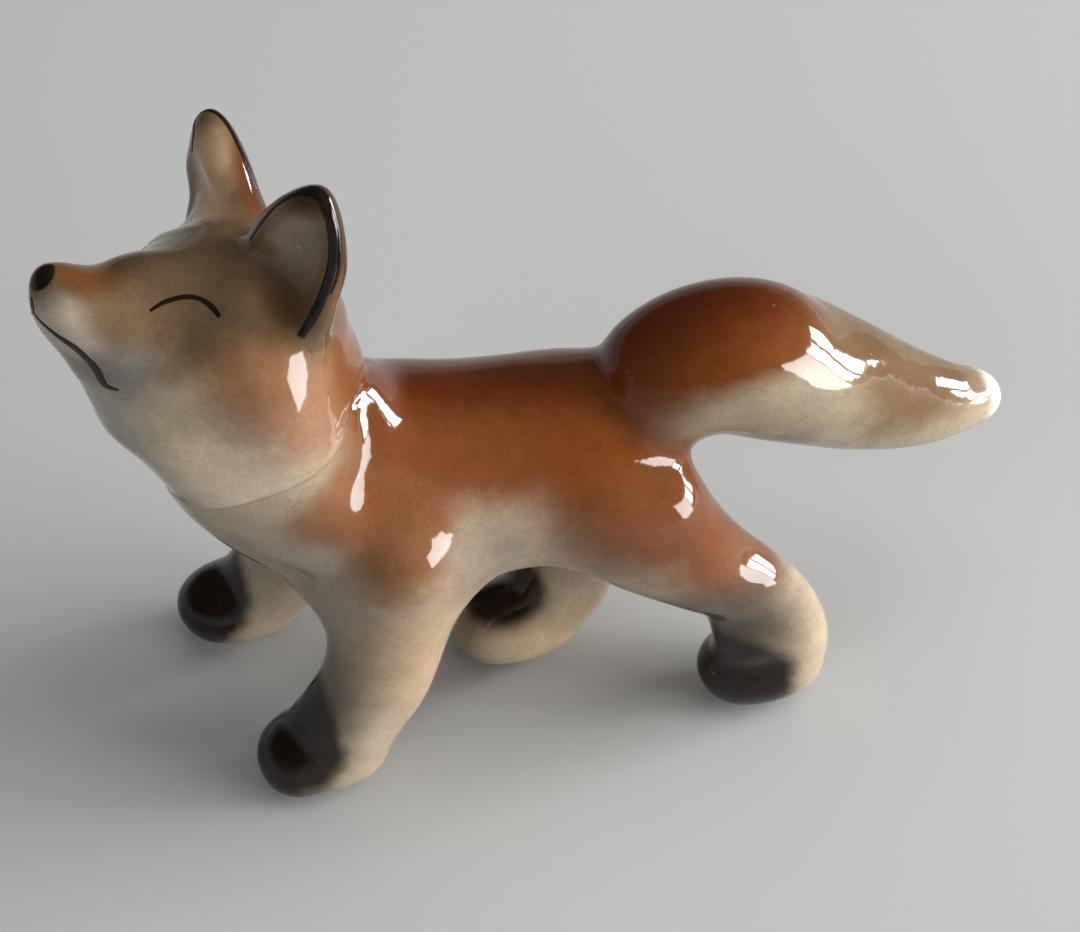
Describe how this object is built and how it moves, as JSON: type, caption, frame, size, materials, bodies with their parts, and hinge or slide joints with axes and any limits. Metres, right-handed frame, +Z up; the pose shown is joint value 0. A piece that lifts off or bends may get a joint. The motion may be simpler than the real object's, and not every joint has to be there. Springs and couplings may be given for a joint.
{
  "type": "fox figurine",
  "caption": "Small glazed porcelain fox cub standing on its paws, with its head raised and turned, eyes closed and brush held out behind.",
  "frame": {"origin": "on the ground under the middle of the figure's bounding box", "axes": "+Z up, +X from the nose to the tip of the tail, so the fox looks along -X; -Y is the fox's left side"},
  "size_m": [0.0466, 0.0154, 0.0369],
  "materials": {
    "body_glaze": "gloss",
    "head_glaze": "gloss",
    "leg_glaze": "gloss"
  },
  "bodies": {
    "root": {"torso": "body_glaze", "head": "head_glaze", "left_ear": "head_glaze", "right_ear": "head_glaze", "tail": "body_glaze", "front_left_leg": "leg_glaze", "front_right_leg": "leg_glaze", "hind_left_leg": "leg_glaze", "hind_right_leg": "leg_glaze"}
  },
  "joints": []
}
